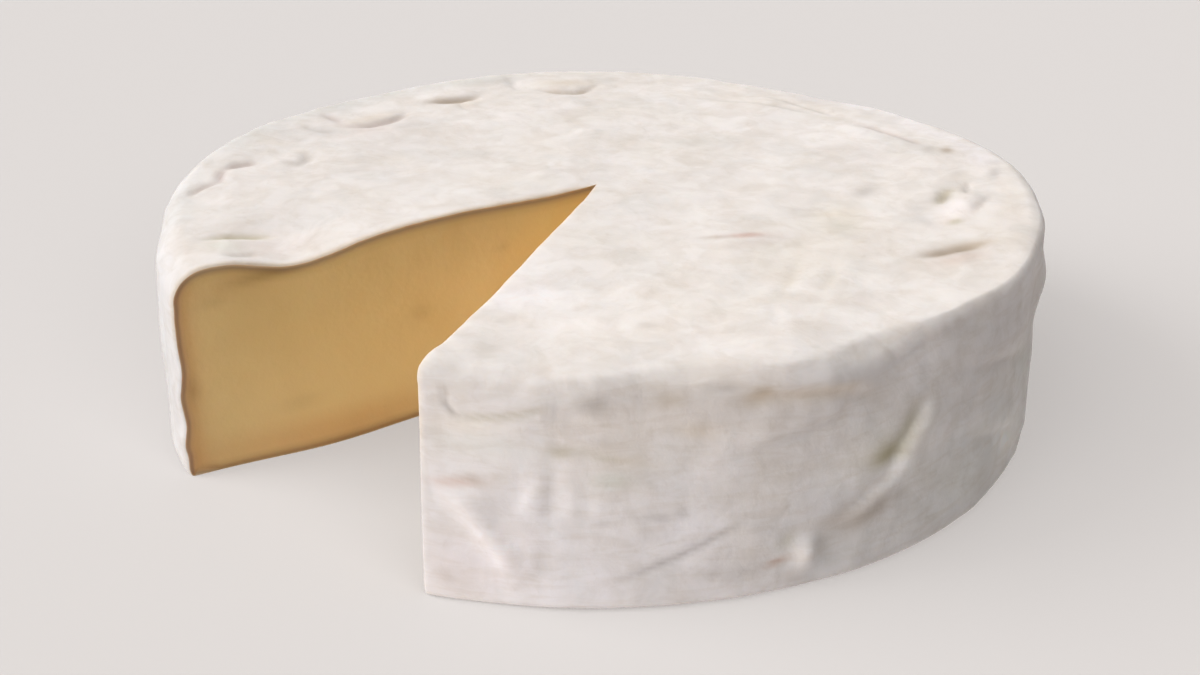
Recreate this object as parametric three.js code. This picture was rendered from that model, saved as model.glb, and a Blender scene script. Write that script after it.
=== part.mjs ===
// A small wheel of soft cheese in a white mould rind, with one wedge cut out of it.
// Millimetres, +Z up. The wheel stands on its flat underside with the middle of its plan at the origin,
// and the missing wedge opens towards -X and -Y. Angles are in degrees, anticlockwise from +X.
import * as THREE from "three";

// The wheel
const WHEEL_RADIUS = 65;
const WHEEL_HEIGHT = 30.4;
const FOOT_ROUNDING = 1.4; // between the side and the underside
const FOOT_SPREAD = 0.9; // how far the soft wheel has settled outwards at its foot

// The missing wedge: two upright cuts that meet close to the middle
const APEX_Y = 0.5;
const LEFT_CUT = 212.5;
const RIGHT_CUT = 252.2;

// The mould was not quite round, and the wheel has settled unevenly
const OUTLINE_WAVES = [
  { lobes: 2, height: 0.25, peak: 45 },
  { lobes: 3, height: 0.33, peak: -1 },
  { lobes: 4, height: 0.13, peak: -41 },
  { lobes: 5, height: 0.23, peak: 12 },
];
const RIM_HEIGHT_WAVES = [
  { lobes: 1, height: 0.36, peak: -6 },
  { lobes: 2, height: 0.18, peak: 6 },
  { lobes: 3, height: 0.32, peak: 2 },
  { lobes: 4, height: 0.32, peak: 4 },
  { lobes: 5, height: 0.2, peak: 10 },
];
const OUTLINE_DENT = { angle: 192, reach: 15, depth: 0.45 }; // a slight flat on the left

// The edge of the top, on the way round from the right cut: angle, radius of its rounding, width and
// steepness of the bevel above the rounding, and how far the upper part of the side leans in below it
const RIM_SHAPES = [
  [-108, 1.3, 0.5, 0.7, 0],
  [-102, 1.3, 2, 0.8, 0],
  [-95, 2.4, 4, 0.4, 0],
  [-90, 2, 1.2, 0.7, 0.3],
  [-85, 1.3, 2.4, 0.9, 0.9],
  [-80, 1.2, 2.8, 0.9, 1.1],
  [-75, 1.4, 2.2, 0.9, 0.6],
  [-70, 1.8, 1.2, 0.9, 0],
  [-65, 1.5, 1.8, 0.8, 0],
  [-60, 1.3, 2.9, 0.9, 0.6],
  [-55, 1.2, 2.4, 0.9, 1.7],
  [-50, 1.2, 1.2, 1, 2.3],
  [-45, 1.2, 0.9, 1, 2.1],
  [-40, 1.2, 0.8, 1, 1.8],
  [-35, 1.2, 0.6, 0.8, 1],
  [-30, 1, 0.6, 0.7, 0.4],
  [-25, 0.9, 0.8, 0.6, 0.2],
  [-10, 0.8, 1.3, 0.6, 0.3],
  [10, 0.8, 1.5, 0.6, 0.3],
  [30, 1.2, 1, 0.6, 0.1],
  [60, 2.2, 0, 0.6, 0],
  [90, 3.2, 0, 0.6, 0],
  [150, 3.6, 0, 0.6, 0],
  [195, 3.8, 0, 0.6, 0],
  [213, 4.4, 0, 0.6, 0],
];
const LEAN_SHARE = 0.4; // how much of the side's height leans in

// Slow swells all over the rind
const SWELLS = [
  { wavelength: 47, heading: 25, height: 0.16, start: 9 },
  { wavelength: 29, heading: 100, height: 0.12, start: 3 },
  { wavelength: 17, heading: 155, height: 0.08, start: 12 },
];

// Where the top has sunk beside the left cut
const HOLLOW = { angle: 212, radius: 47.5, depth: 2.4, inwards: 6.3, outwards: 5.4, sideways: 9 };

// Round swellings of the top
const TOP_BUMPS = [
  { angle: 207, radius: 24, reach: 11, raise: 0.75 },
  { angle: 253, radius: 62, reach: 3, raise: 0.7 },
  { angle: 212, radius: 58, reach: 3, raise: 0.4 },
];

// Folds of the rind on the top. Each runs between two places, given as angle and radius about the middle.
// bow pushes its middle to the left of that line, sink is the depth of the crease along it, and raise and
// width are those of the lobe of rind that stands along its left side.
const TOP_FOLDS = [
  { from: [103, 52.5], to: [90, 54], bow: -4, sink: 0.5, raise: 0.4, width: 4 },
  { from: [124.5, 52.5], to: [113.5, 52], bow: -1.2, sink: 0.6, raise: 0.4, width: 4 },
  { from: [146, 52], to: [131, 50], bow: -3.5, sink: 0.5, raise: 0.4, width: 4 },
  { from: [171, 47], to: [162, 49], bow: -1, sink: 0.3, raise: 0.2, width: 2.5 },
  { from: [185, 59.5], to: [170, 53.6], bow: 0.5, sink: 0.4, raise: 0.2, width: 2.5 },
  { from: [201.6, 58.2], to: [201.2, 48.4], bow: 0.4, sink: 0.5, raise: 0, width: 2.5 },
  { from: [338, 58], to: [329, 50.4], bow: 0.2, sink: 0.4, raise: 0.1, width: 2.5 },
  { from: [347.4, 54.9], to: [355.9, 58.2], bow: 0.2, sink: 0.1, raise: 0.5, width: 2.6 },
  { from: [351, 50.4], to: [359.5, 53], bow: 0.3, sink: 0.4, raise: 0, width: 2 },
];

// Folds of the rind on the side, given as angle and height
const SIDE_FOLDS = [
  { from: [309.8, 21.5], to: [303.6, 12.6], bow: -1, sink: 0.3, raise: 0.7, width: 2.6 },
  { from: [305, 13.5], to: [297, 9], bow: 0.3, sink: 0.2, raise: 0.7, width: 2.4 },
  { from: [255, 15.8], to: [262, 5.2], bow: 0.9, sink: -0.7, raise: 0, width: 2 },
  { from: [273.2, 4], to: [285.5, 10.8], bow: -0.4, sink: 0.3, raise: 0, width: 2 },
  { from: [316, 12], to: [334, 5.5], bow: 0.8, sink: 0.2, raise: 0.45, width: 2 },
  { from: [311, 23], to: [336, 16], bow: 1, sink: 0.2, raise: 0.35, width: 2.2 },
];
const CREASE_WIDTH = 2.4;

// Round swellings of the side, given as angle and height, with their reach along and up the side
const SIDE_BUMPS = [
  { angle: 293.4, height: 5.2, reach: [2.4, 2.2], raise: 1 },
  { angle: 352, height: 22.9, reach: [13, 2.5], raise: 1.1 },
  { angle: 352, height: 17.4, reach: [12, 1.8], raise: -0.15 },
  { angle: 212, height: 16.5, reach: [5, 2.8], raise: -0.5 },
  { angle: 212, height: 8.2, reach: [4, 1.8], raise: -0.25 },
  { angle: 212, height: 4.8, reach: [4, 1.4], raise: 0.3 },
];

// How finely the surface is divided
const COLUMNS = 120;
const TOP_ROWS = 20;
const RIM_ROWS = 5;
const SIDE_ROWS = 13;
const FOOT_ROWS = 3;

const DEGREE = Math.PI / 180;
const RIND_COLOUR = 0xeee6dc;
const PASTE_COLOUR = 0xc59b5e;

// The sum of a list of waves round the wheel, at an angle
function roundWaves(waves, angle) {
  return waves.reduce(
    (sum, { lobes, height, peak }) => sum + height * Math.cos(lobes * (angle - peak) * DEGREE),
    0,
  );
}

// The same angle on the way round from the right cut to the left one
function forward(angle) {
  return angle > (LEFT_CUT + RIGHT_CUT) / 2 ? angle - 360 : angle;
}

// Distance from the apex of the cuts to the outline, in the direction of an angle
function outlineRadius(angle) {
  const { angle: middle, reach, depth } = OUTLINE_DENT;
  const dent = depth * Math.exp(-(((forward(angle) - middle) / reach) ** 2));
  return WHEEL_RADIUS - APEX_Y * Math.sin(angle * DEGREE) + roundWaves(OUTLINE_WAVES, angle) - dent;
}

function rimShape(angle) {
  const next = RIM_SHAPES.findIndex(([end]) => end > angle);
  const [before, after] = [RIM_SHAPES[next - 1], RIM_SHAPES[next]];
  const share = (angle - before[0]) / (after[0] - before[0]);
  const [, rounding, width, steepness, lean] = before.map((value, i) => value + share * (after[i] - value));
  return { rounding, width, steepness, lean };
}

// How far the bevel lowers the rind at a distance from the apex of the cuts
function rimDrop(r, angle) {
  const { width, steepness, lean } = rimShape(angle);
  const past = r - outlineRadius(angle) + lean + width;
  return (Math.min(width / 0.3, 1) * steepness * (past + Math.hypot(past, 0.3))) / 2;
}

function swell(u, v) {
  let height = 0;
  for (const { wavelength, heading, height: crest, start } of SWELLS) {
    const along = u * Math.cos(heading * DEGREE) + v * Math.sin(heading * DEGREE);
    height += crest * Math.sin((2 * Math.PI * (along + start)) / wavelength);
  }
  return height;
}

// Height of the rind near one fold, whose two ends are points of the plane (u, v)
function foldHeight(fold, start, end, u, v) {
  const length = Math.hypot(end[0] - start[0], end[1] - start[1]);
  const heading = [(end[0] - start[0]) / length, (end[1] - start[1]) / length];
  const along = (u - start[0]) * heading[0] + (v - start[1]) * heading[1];
  const left = (v - start[1]) * heading[0] - (u - start[0]) * heading[1];
  const reach = (2 * along) / length - 1;
  const across = left - fold.bow * (1 - reach * reach);
  const fade = Math.exp(-2 * reach ** 4);
  const crease = fold.sink * Math.exp(-((across / CREASE_WIDTH) ** 2));
  const lobe = fold.raise * Math.exp(-((across / fold.width - 1) ** 2));
  return fade * (lobe - crease);
}

function planPoint([angle, radius]) {
  return [radius * Math.cos(angle * DEGREE), radius * Math.sin(angle * DEGREE)];
}

// The side laid out flat: distance round the wheel, and height
function sidePoint([angle, height]) {
  return [forward(angle) * DEGREE * WHEEL_RADIUS, height];
}

function hollowDepth(x, y) {
  const [middleX, middleY] = planPoint([HOLLOW.angle, 1]);
  const outwards = x * middleX + y * middleY - HOLLOW.radius;
  const sideways = y * middleX - x * middleY;
  const reach = outwards > 0 ? HOLLOW.outwards : HOLLOW.inwards;
  const fall = (outwards / reach) ** 2 + (sideways / HOLLOW.sideways) ** 2;
  return HOLLOW.depth * Math.exp(-fall / 2);
}

function topRelief(x, y) {
  let height = swell(x, y) - hollowDepth(x, y);
  for (const fold of TOP_FOLDS) {
    height += foldHeight(fold, planPoint(fold.from), planPoint(fold.to), x, y);
  }
  for (const bump of TOP_BUMPS) {
    const [bumpX, bumpY] = planPoint([bump.angle, bump.radius]);
    height += bump.raise * Math.exp(-(((x - bumpX) ** 2 + (y - bumpY) ** 2) / bump.reach ** 2));
  }
  return height;
}

function sideRelief(angle, z) {
  const [u, v] = sidePoint([angle, z]);
  let height = swell(u, v);
  for (const fold of SIDE_FOLDS) {
    height += foldHeight(fold, sidePoint(fold.from), sidePoint(fold.to), u, v);
  }
  for (const bump of SIDE_BUMPS) {
    const [bumpU, bumpV] = sidePoint([bump.angle, bump.height]);
    const fall = ((u - bumpU) / bump.reach[0]) ** 2 + ((v - bumpV) / bump.reach[1]) ** 2;
    height += bump.raise * Math.exp(-fall);
  }
  return height;
}

// The smooth profile under one angle: points out from the middle of the top, over the rim, down the side
// and under the foot, each with how far it faces up (lift) and out (push)
function profile(angle) {
  const radius = outlineRadius(angle);
  const { rounding: rim, lean } = rimShape(angle);
  const rimRadius = radius - lean;
  const rimLift = roundWaves(RIM_HEIGHT_WAVES, angle);
  const points = [];
  for (let i = 1; i <= TOP_ROWS; i += 1) {
    const share = (i / TOP_ROWS) ** 0.8;
    const r = share * (rimRadius - rim);
    points.push({ r, z: WHEEL_HEIGHT + share ** 3 * rimLift - rimDrop(r, angle), lift: 1, push: 0 });
  }
  for (let i = 1; i <= RIM_ROWS; i += 1) {
    const push = Math.sin((i / RIM_ROWS) * 90 * DEGREE);
    const lift = Math.cos((i / RIM_ROWS) * 90 * DEGREE);
    const r = rimRadius - rim + rim * push;
    points.push({ r, z: WHEEL_HEIGHT + rimLift - rimDrop(r, angle) - rim * (1 - lift), lift, push });
  }
  const sideTop = points.at(-1).z;
  for (let i = 1; i <= SIDE_ROWS; i += 1) {
    const share = i / SIDE_ROWS;
    const z = sideTop + share * (FOOT_ROUNDING - sideTop);
    const leaning = lean * Math.max(1 - share / LEAN_SHARE, 0) ** 1.5;
    points.push({ r: radius + share * FOOT_SPREAD - leaning, z, lift: 0, push: 1 });
  }
  for (let i = 1; i <= FOOT_ROWS; i += 1) {
    const push = Math.cos((i / FOOT_ROWS) * 90 * DEGREE);
    const under = Math.sin((i / FOOT_ROWS) * 90 * DEGREE);
    const r = radius + FOOT_SPREAD - FOOT_ROUNDING * (1 - push);
    points.push({ r, z: FOOT_ROUNDING * (1 - under), lift: 0, push });
  }
  return points;
}

// The profile with the rind's relief, as distance from the apex and height
function reliefProfile(angle) {
  const [outX, outY] = planPoint([angle, 1]);
  return profile(angle).map(({ r, z, lift, push }) => {
    const up = lift * topRelief(r * outX, APEX_Y + r * outY);
    const out = push * sideRelief(angle, z);
    return new THREE.Vector2(r + out * push + up * push, z + up * lift + out * lift);
  });
}

// A flat cut face: the outline of one profile, closed by the upright line where the two cuts meet
function cutFaces(points, indices, facesLeft) {
  return THREE.ShapeUtils.triangulateShape(points, []).map(([a, b, c]) => {
    const side = points[b].clone().sub(points[a]).cross(points[c].clone().sub(points[a]));
    const turned = side > 0 === facesLeft;
    return turned ? [indices[a], indices[c], indices[b]] : [indices[a], indices[b], indices[c]];
  });
}

function cheeseGeometry() {
  const first = RIGHT_CUT - 360;
  const step = (LEFT_CUT - first) / COLUMNS;
  const topMiddle = WHEEL_HEIGHT + topRelief(0, APEX_Y);
  const positions = [0, APEX_Y, 0, 0, APEX_Y, topMiddle];
  const profiles = [];
  for (let column = 0; column <= COLUMNS; column += 1) {
    const angle = first + column * step;
    const points = reliefProfile(angle);
    profiles.push(points);
    for (const { x: r, y: z } of points) {
      positions.push(r * Math.cos(angle * DEGREE), APEX_Y + r * Math.sin(angle * DEGREE), z);
    }
  }
  const rows = profiles[0].length;
  const at = (column, row) => 2 + column * rows + row;

  const rind = [];
  for (let column = 0; column < COLUMNS; column += 1) {
    rind.push([1, at(column, 0), at(column + 1, 0)]);
    for (let row = 0; row + 1 < rows; row += 1) {
      const [a, b] = [at(column, row), at(column, row + 1)];
      const [c, d] = [at(column + 1, row + 1), at(column + 1, row)];
      rind.push([a, b, c], [a, c, d]);
    }
    rind.push([at(column, rows - 1), 0, at(column + 1, rows - 1)]);
  }

  const paste = [];
  for (const [column, facesLeft] of [[0, false], [COLUMNS, true]]) {
    const outline = [new THREE.Vector2(0, 0), new THREE.Vector2(0, topMiddle), ...profiles[column]];
    const indices = [0, 1, ...profiles[column].map((point, row) => at(column, row))];
    paste.push(...cutFaces(outline, indices, facesLeft));
  }

  const geometry = new THREE.BufferGeometry();
  geometry.setAttribute("position", new THREE.Float32BufferAttribute(positions, 3));
  geometry.setIndex([...rind, ...paste].flat());
  geometry.addGroup(0, rind.length * 3, 0);
  geometry.addGroup(rind.length * 3, paste.length * 3, 1);
  geometry.computeVertexNormals();
  return geometry;
}

const rindMaterial = new THREE.MeshStandardMaterial({ color: RIND_COLOUR, roughness: 0.9, metalness: 0 });
const pasteMaterial = new THREE.MeshStandardMaterial({ color: PASTE_COLOUR, roughness: 0.55, metalness: 0 });

const wheel = new THREE.Mesh(cheeseGeometry(), [rindMaterial, pasteMaterial]);
wheel.name = "brie_wheel";

const cheese = new THREE.Group();
cheese.add(wheel);
const middle = new THREE.Box3().setFromObject(cheese).getCenter(new THREE.Vector3());
wheel.position.set(-middle.x, -middle.y, 0);

export default cheese;
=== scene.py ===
"""A small wheel of soft cheese in a white mould rind, with one wedge cut out of it.

The wheel is one closed mesh. Its shape is worked out in millimetres about the wheel's own axis, with the
same named sizes as the solid that it dresses, and is then set in the frame in metres. Angles are in
degrees, anticlockwise from +X.
"""
import math

import bpy
import numpy as np
from mathutils import Matrix, Vector, noise
from mathutils.geometry import delaunay_2d_cdt

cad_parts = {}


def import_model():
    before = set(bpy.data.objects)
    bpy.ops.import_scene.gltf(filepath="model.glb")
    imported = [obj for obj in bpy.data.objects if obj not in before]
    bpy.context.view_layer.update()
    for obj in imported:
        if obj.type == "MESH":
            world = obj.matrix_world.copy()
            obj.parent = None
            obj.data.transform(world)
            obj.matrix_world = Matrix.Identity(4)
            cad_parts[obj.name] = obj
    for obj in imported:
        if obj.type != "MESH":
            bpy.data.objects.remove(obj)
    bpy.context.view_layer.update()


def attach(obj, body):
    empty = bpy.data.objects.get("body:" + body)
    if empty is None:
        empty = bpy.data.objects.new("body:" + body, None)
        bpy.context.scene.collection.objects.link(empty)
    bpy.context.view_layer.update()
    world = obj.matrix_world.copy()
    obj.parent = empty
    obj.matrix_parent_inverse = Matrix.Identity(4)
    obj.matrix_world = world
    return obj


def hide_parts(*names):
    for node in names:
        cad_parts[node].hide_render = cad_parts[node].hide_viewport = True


MM = 0.001

# The wheel, as in the solid
WHEEL_AXIS = (-0.51, -0.16)  # where it stands in the frame
WHEEL_RADIUS = 65.0
WHEEL_HEIGHT = 30.4
FOOT_ROUNDING = 1.4
FOOT_SPREAD = 0.9
APEX_Y = 0.5
LEFT_CUT = 212.5
RIGHT_CUT = 252.2

# Waves round the wheel: how many, their height, and the angle of a peak
OUTLINE_WAVES = [(2, 0.25, 45), (3, 0.33, -1), (4, 0.13, -41), (5, 0.23, 12)]
RIM_HEIGHT_WAVES = [(1, 0.36, -6), (2, 0.18, 6), (3, 0.32, 2), (4, 0.32, 4), (5, 0.2, 10)]
OUTLINE_DENT = (192, 15, 0.45)  # angle, reach in degrees and depth of a slight flat on the left

# The edge of the top, on the way round from the right cut: angle, radius of its rounding, width and
# steepness of the bevel above the rounding, and how far the upper part of the side leans in below it
RIM_SHAPES = [
    (-108, 1.3, 0.5, 0.7, 0), (-102, 1.3, 2, 0.8, 0), (-95, 2.4, 4, 0.4, 0), (-90, 2, 1.2, 0.7, 0.3),
    (-85, 1.3, 2.4, 0.9, 0.9), (-80, 1.2, 2.8, 0.9, 1.1), (-75, 1.4, 2.2, 0.9, 0.6), (-70, 1.8, 1.2, 0.9, 0),
    (-65, 1.5, 1.8, 0.8, 0), (-60, 1.3, 2.9, 0.9, 0.6), (-55, 1.2, 2.4, 0.9, 1.7), (-50, 1.2, 1.2, 1, 2.3),
    (-45, 1.2, 0.9, 1, 2.1), (-40, 1.2, 0.8, 1, 1.8), (-35, 1.2, 0.6, 0.8, 1), (-30, 1, 0.6, 0.7, 0.4),
    (-25, 0.9, 0.8, 0.6, 0.2), (-10, 0.8, 1.3, 0.6, 0.3), (10, 0.8, 1.5, 0.6, 0.3), (30, 1.2, 1, 0.6, 0.1),
    (60, 2.2, 0, 0.6, 0), (90, 3.2, 0, 0.6, 0), (150, 3.6, 0, 0.6, 0), (195, 3.8, 0, 0.6, 0),
    (213, 4.4, 0, 0.6, 0),
]
LEAN_SHARE = 0.4  # how much of the side's height leans in
BEVEL_SOFTNESS = 0.3  # how gently the bevel begins, and the width below which it fades out

# Slow swells of the rind: wavelength, heading, height and start
SWELLS = [(47, 25, 0.16, 9), (29, 100, 0.12, 3), (17, 155, 0.08, 12)]

# Where the top has sunk beside the left cut
HOLLOW = dict(angle=212, radius=47.5, depth=2.4, inwards=6.3, outwards=5.4, sideways=9)

# Round swellings of the top: angle, distance from the middle, reach, and how high they stand
TOP_BUMPS = [(207, 24, 11, 0.75), (253, 62, 3, 0.7), (212, 58, 3, 0.4)]

# Where the foot of the left cut bulges: distance from the apex, and its reaches along, up and behind
CUT_BULGE = dict(middle=45, along=12, up=5, behind=5, push=1.5)

# What a mark at full strength multiplies the colour by: mostly stains, with some painted shade and light
BROWN = (0.54, 0.46, 0.37)
RUST = (0.74, 0.50, 0.38)
MAUVE = (0.64, 0.56, 0.54)
OCHRE = (0.86, 0.74, 0.54)
OLIVE = (0.56, 0.52, 0.34)
GREY = (0.62, 0.60, 0.58)
GREEN = (0.80, 0.86, 0.78)
WARM = (1.03, 1.0, 0.93)
ROSE = (1.0, 0.94, 0.93)
COOL = (1.03, 1.045, 1.10)
BLUE_GREY = (0.88, 0.92, 0.935)
PALE = (1.12, 1.11, 1.11)
CREAM = (1.03, 0.96, 0.86)
# Painted shade: the whole side is a little darker and cooler than the top
SIDE_PAINTED_SHADE = (0.965, 0.98, 1.015)
CUT_CREAM = 0.5  # how far from a cut the rind is cream
CREAM_HEIGHT = 18  # where that cream begins to show
CREAM_FADE = 6  # the height over which it comes in


def fold(start, end, bow=0.0, sink=0.0, crease=1.2, rise=0.0, width=2.0, stain_and_shade=0.0, tint=GREY):
    """A fold of the rind from one place to another. bow pushes its middle to the left of that line, sink
    and crease are the depth and half width of the crease along it, rise and width are those of the lobe on
    its left side, and stain is how strongly the crease is tinted: partly with the rind's own colour there
    and partly with painted shade in the crease."""
    return dict(start=start, end=end, bow=bow, sink=sink, crease=crease, rise=rise, width=width,
                stain_and_shade=stain_and_shade, tint=tint)


def mark(place, reach, stain_and_shade, tint, turn=0.0):
    """A soft oval mark of colour, mostly the rind's own and sometimes painted shade or light: its half axes,
    and the heading of the first of them.
    """
    return dict(place=place, reach=reach, stain_and_shade=stain_and_shade, tint=tint, turn=turn)


# Folds of the top, between places given as angle and radius
TOP_FOLDS = [
    fold((103, 52.5), (90, 54), bow=-4, sink=0.4, crease=0.9, rise=0.3, width=3, stain_and_shade=0.6, tint=BROWN),
    fold((101, 48), (88, 50), bow=-3, rise=0.2, width=-1.6),
    fold((124.5, 52.5), (113.5, 52), bow=-1.2, sink=0.5, crease=1, rise=0.3, width=3, stain_and_shade=0.8,
         tint=BROWN),
    fold((119, 50), (119.5, 44.5), bow=-0.6, sink=0.25, crease=0.7, rise=0.25, width=1.6, stain_and_shade=0.3),
    fold((146, 52), (131, 50), bow=-3.5, sink=0.4, crease=1, rise=0.35, width=3, stain_and_shade=0.65, tint=MAUVE),
    fold((142.6, 60), (145.6, 51.6), bow=0.5, sink=0.25, crease=1, rise=0.2, width=-2, stain_and_shade=0.5,
         tint=MAUVE),
    fold((171, 47), (162, 49), bow=-1, sink=0.25, crease=1, rise=0.2, width=2, stain_and_shade=0.45),
    fold((173.8, 57.8), (169.8, 53.2), bow=0.4, sink=0.35, crease=0.8, rise=0.25, width=2, stain_and_shade=0.7,
         tint=MAUVE),
    fold((179.5, 56.4), (173.6, 57.6), bow=0.3, sink=0.35, crease=0.7, rise=0.25, width=-2, stain_and_shade=0.8,
         tint=MAUVE),
    fold((185, 60.2), (178.6, 56.8), bow=0.3, sink=0.3, crease=0.8, rise=0.25, width=-2, stain_and_shade=0.7,
         tint=MAUVE),
    fold((201.6, 58.2), (201.2, 48.4), bow=0.4, sink=0.5, crease=0.9, rise=0.3, width=-2.5, stain_and_shade=0.75,
         tint=OLIVE),
    fold((208.8, 57), (207.6, 51.8), bow=-0.3, sink=0.25, crease=0.7, stain_and_shade=0.4),
    fold((338, 58), (329, 50.4), bow=0.2, sink=0.35, crease=1, rise=0.1, width=2, stain_and_shade=0.7, tint=BROWN),
    fold((347.4, 54.9), (355.9, 58.2), bow=0.2, sink=0.1, crease=0.7, rise=0.5, width=2.4, stain_and_shade=0.22,
         tint=BROWN),
    fold((355.4, 54.4), (1.6, 55.5), sink=0.3, crease=0.5, stain_and_shade=0.7),
    fold((350.6, 50.2), (359.5, 53), bow=0.3, sink=0.5, crease=1, stain_and_shade=0.6, tint=OLIVE),
    fold((37, 54), (20, 55.6), bow=1, sink=0.4, crease=1, rise=0.35, width=-2.6, stain_and_shade=0.6, tint=MAUVE),
    fold((68, 51), (44.5, 53), bow=0.8, sink=0.3, crease=0.9, rise=0.3, width=-2, stain_and_shade=0.45),
    fold((59, 57.6), (42, 54.4), bow=0.5, sink=0.35, crease=0.8, rise=0.3, width=-1.8, stain_and_shade=0.5),
    fold((106, 52), (106, 61.5), sink=0.3, crease=0.8, stain_and_shade=0.3),
    fold((150, 51), (150, 57), sink=0.3, crease=0.9, stain_and_shade=0.35),
    fold((315, 38.5), (300, 46.5), bow=0.3, sink=0.15, crease=0.9, rise=0.1, width=1.4, stain_and_shade=0.15,
         tint=OLIVE),
    fold((317, 43.5), (305, 49), bow=0.3, sink=0.15, crease=0.8, rise=0.1, width=1.2, stain_and_shade=0.15,
         tint=OLIVE),
    fold((298, 47), (294, 55), sink=0.12, crease=1, rise=0.08, width=1.4, stain_and_shade=0.12),
    fold((88, 27), (98, 28), rise=0.35, width=1.2),
]

# Folds of the side, between places given as angle and height
SIDE_FOLDS = [
    fold((309.8, 21.5), (303.6, 12.6), bow=-1.0, sink=0.4, crease=1.6, rise=0.95, width=1.4),
    fold((305, 13.5), (297, 9), bow=0.3, sink=0.2, crease=1.5, rise=0.85, width=1.4),
    fold((297, 6.5), (305, 10.5), sink=0.25, crease=1.6, stain_and_shade=0.35, tint=BROWN),
    fold((254.8, 16), (262.4, 4), bow=0.9, sink=-0.85, crease=1.6, stain_and_shade=0.9, tint=PALE),
    fold((264.2, 18.5), (262.2, 13.5), rise=0.35, width=1),
    fold((266.2, 20.5), (265.6, 11), sink=0.15, crease=0.8, rise=0.15, width=1.2, stain_and_shade=0.2),
    fold((266.4, 29.6), (266, 21), sink=0.08, crease=0.6, stain_and_shade=0.14),
    fold((265.4, 10.5), (264.8, 4.5), sink=0.12, crease=0.9, stain_and_shade=0.2),
    fold((267.4, 17.5), (267, 12), rise=0.2, width=1.2),
    fold((270, 18), (269.7, 11.5), rise=0.2, width=1.2),
    fold((272.4, 4.2), (286.8, 11.6), bow=-0.4, sink=0.4, crease=0.5, rise=-0.12, width=-1.6, stain_and_shade=0.5),
    fold((254.9, 29.6), (255, 26), sink=0.12, crease=0.4, stain_and_shade=0.7),
    fold((254.9, 26.9), (256.4, 25), sink=0.2, crease=0.4, rise=0.15, width=1.2, stain_and_shade=0.75),
    fold((255.8, 25.2), (265.5, 27), bow=-0.4, sink=0.2, crease=0.5, rise=0.15, width=-1.3, stain_and_shade=0.45,
         tint=OLIVE),
    fold((265.5, 29.9), (270, 29.4), sink=0.2, crease=0.45, stain_and_shade=0.4),
    fold((276.5, 29.4), (286, 28.2), bow=-0.2, sink=0.15, crease=0.6, stain_and_shade=0.55),
    fold((284, 26.5), (302, 24), bow=1.4, sink=0.35, crease=1, rise=0.3, width=1.6, stain_and_shade=0.25,
         tint=OCHRE),
    fold((285, 20), (300, 24.5), bow=-0.5, sink=0.2, crease=1, rise=0.3, width=1.8, stain_and_shade=0.15),
    fold((316, 12), (334, 5.5), bow=0.8, rise=0.45, width=2, sink=0.2, stain_and_shade=0.1),
    fold((311, 23), (336, 16), bow=1, sink=0.2, rise=0.35, width=2.2, stain_and_shade=0.12),
    fold((326, 3), (344, 0.5), bow=1, rise=0.3, width=1.6),
    fold((206, 4), (203, 26), bow=1, sink=0.2, rise=0.25, width=2),
    fold((12, 9), (31, 14), bow=1, sink=0.25, rise=0.3, width=2, stain_and_shade=0.2),
    fold((48, 22), (66, 17), bow=-0.8, sink=0.25, crease=1, rise=0.3, width=1.8, stain_and_shade=0.25, tint=OCHRE),
    fold((84, 6), (97, 13), bow=0.6, sink=0.35, crease=0.8, rise=0.25, width=-1.6, stain_and_shade=0.4),
    fold((118, 24), (123, 11), bow=0.5, sink=0.2, rise=0.4, width=2, stain_and_shade=0.15),
    fold((141, 9), (158, 12), bow=-0.7, sink=0.25, rise=0.35, width=1.8, stain_and_shade=0.2, tint=OLIVE),
    fold((170, 22), (183, 19), bow=0.5, sink=0.3, crease=1, rise=0.3, width=-1.8, stain_and_shade=0.25),
]

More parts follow.
